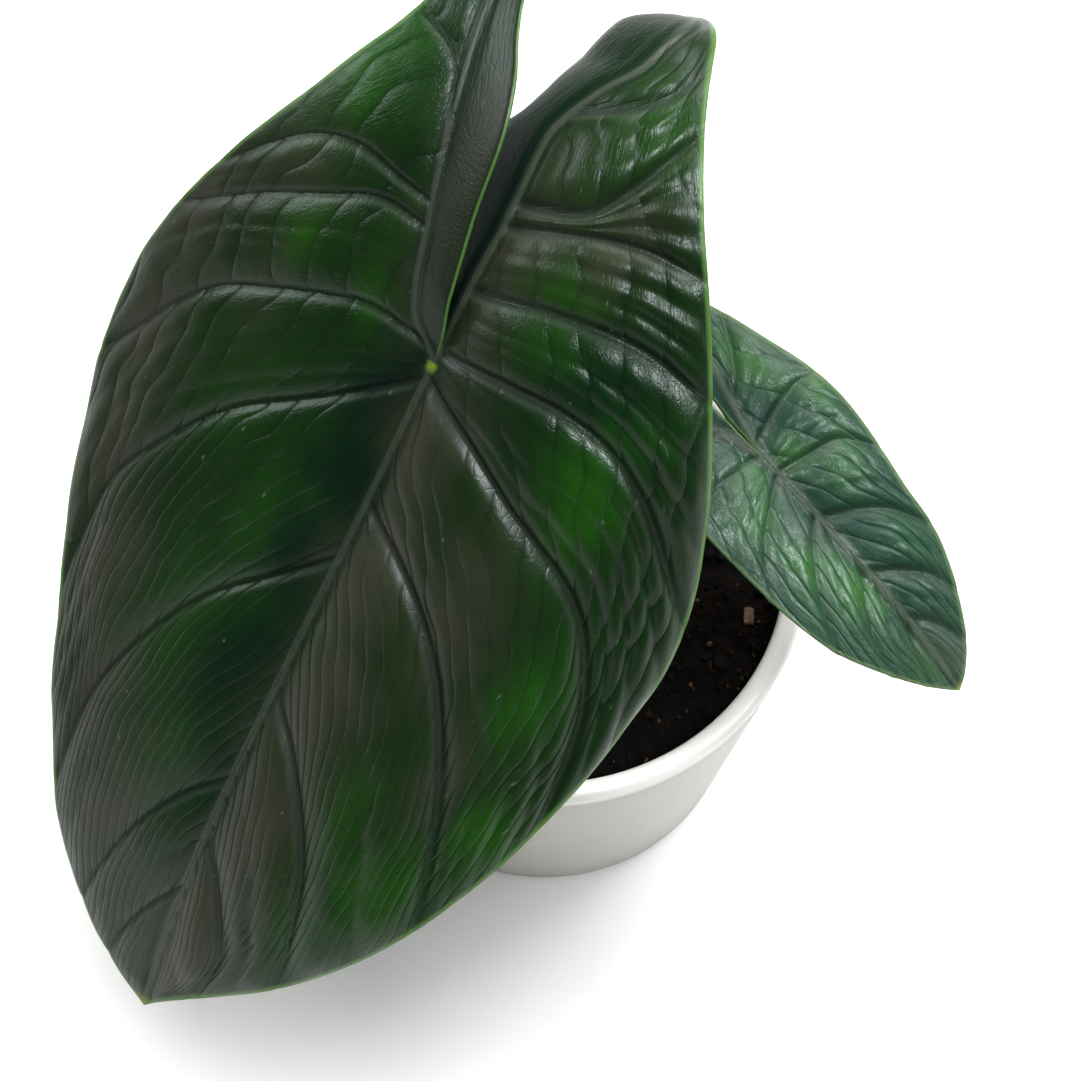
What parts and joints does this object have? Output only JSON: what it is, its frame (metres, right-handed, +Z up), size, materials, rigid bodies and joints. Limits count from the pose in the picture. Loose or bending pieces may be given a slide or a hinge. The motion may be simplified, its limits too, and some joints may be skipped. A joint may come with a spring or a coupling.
{
  "type": "potted alocasia",
  "caption": "White tapered pot of dark soil with a large drooping, deeply veined arrow-shaped leaf and a smaller leaf, each on an arching stalk that grows from a rhizome.",
  "frame": {"origin": "centre of the pot's flat underside, on the surface it stands on", "axes": "+Z up; -Y is the front, where the large leaf's face hangs down to the left of the pot; +X is to the right from the front"},
  "size_m": [0.2374, 0.1907, 0.258],
  "materials": {
    "pot_glaze": "satin",
    "soil": "matte",
    "rhizome_skin": "matte",
    "stalk_skin": "satin",
    "large_blade": "satin",
    "small_blade": "satin",
    "bark": "matte"
  },
  "bodies": {
    "root": {"pot": "pot_glaze", "soil": "soil", "rhizome": "rhizome_skin", "stalk_large": "stalk_skin", "stalk_small": "stalk_skin", "leaf_large": "large_blade", "leaf_small": "small_blade", "bark_chip_01": "bark", "bark_chip_02": "bark", "bark_chip_03": "bark", "bark_chip_04": "bark", "bark_chip_05": "bark", "bark_chip_06": "bark", "bark_chip_07": "bark", "bark_chip_08": "bark", "bark_chip_09": "bark", "bark_chip_10": "bark", "bark_chip_11": "bark", "bark_chip_12": "bark"}
  },
  "joints": []
}
